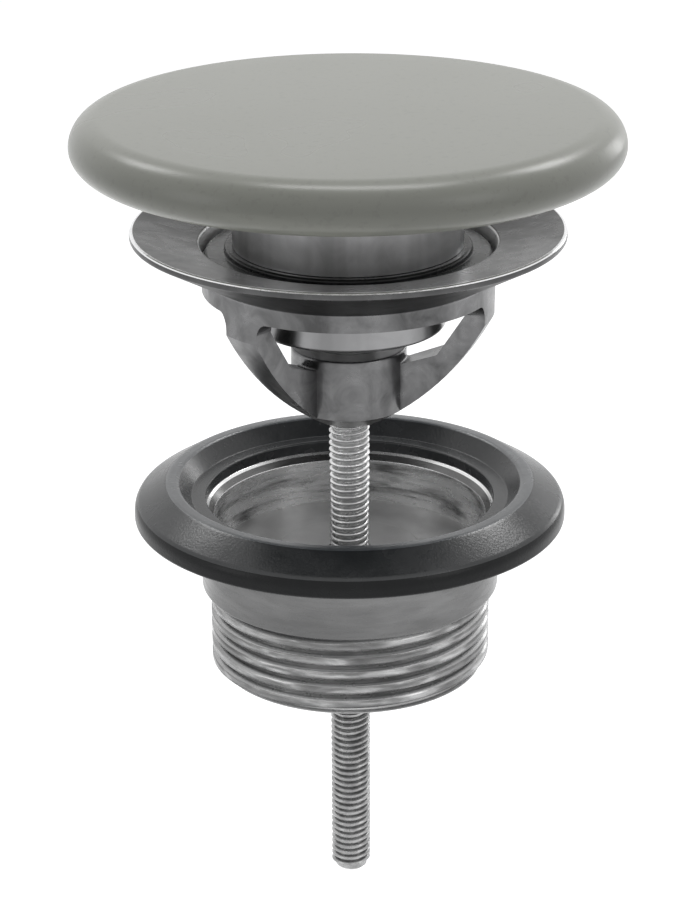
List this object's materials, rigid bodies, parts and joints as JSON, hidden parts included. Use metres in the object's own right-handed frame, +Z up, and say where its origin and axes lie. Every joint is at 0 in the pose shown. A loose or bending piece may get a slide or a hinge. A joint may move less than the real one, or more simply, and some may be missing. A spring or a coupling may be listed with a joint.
{
  "type": "basin waste",
  "caption": "Push-open basin waste: a round glazed cap over a dished flange, a windowed strainer on tapered arms, and a threaded tail with a rubber ring, drawn up by one long clamp screw.",
  "frame": {"origin": "on the axis, where the flange's conical seat meets the neck, so the neck enters the basin's hole from here down", "axes": "+Z up along the axis of the waste, out of the basin; -Y toward the picture's viewer; +X to the picture's right"},
  "size_m": [0.079, 0.079, 0.1216],
  "materials": {
    "glaze": "gloss glaze",
    "adhesive": "translucent foam pad",
    "satin_chrome": "satin chrome plate",
    "cast_chrome": "bright chrome plate over a cast surface",
    "plated_steel": "bright zinc plate",
    "spring_steel": "drawn wire and strip",
    "brass": "turned",
    "black_rubber": "moulded, matt",
    "white_plastic": "moulded"
  },
  "bodies": {
    "strainer": {"flange_body": "satin_chrome", "latch_stem": "satin_chrome", "stem_clip": "spring_steel", "spring_washer": "plated_steel", "screw_washer": "plated_steel", "latch_spring": "spring_steel"},
    "plug": {"ceramic_cap": "glaze", "bond_pad": "adhesive", "plug_collar": "satin_chrome", "plug_seal": "black_rubber", "latch_housing": "satin_chrome", "latch_guide": "white_plastic"},
    "rotor": {"index_rotor": "white_plastic"},
    "screw": {"clamp_screw": "plated_steel"},
    "tail": {"under_gasket": "black_rubber", "tail_body": "cast_chrome", "tail_nut": "brass"}
  },
  "joints": [
    {"name": "plug_rise", "type": "slide", "parent": "strainer", "child": "plug", "axis": [0, 0, 1], "range_m": [0, 0.007], "deforming": ["latch_spring"]},
    {"name": "rotor_index", "type": "hinge", "parent": "strainer", "child": "rotor", "pos_m": [0, 0, 0.0036], "axis": [0, 0, 1], "continuous": true},
    {"name": "screw_turn", "type": "hinge", "parent": "strainer", "child": "screw", "pos_m": [0, 0, -0.0181], "axis": [0, 0, -1], "range_deg": [-14410, 7390]},
    {"name": "tail_slide", "type": "slide", "parent": "strainer", "child": "tail", "axis": [0, 0, 1], "range_m": [-0.04, 0.0205]}
  ],
  "couplings": [
    {"joint": "screw_turn", "follows": "tail_slide", "rad_per_m": 6283.2}
  ]
}
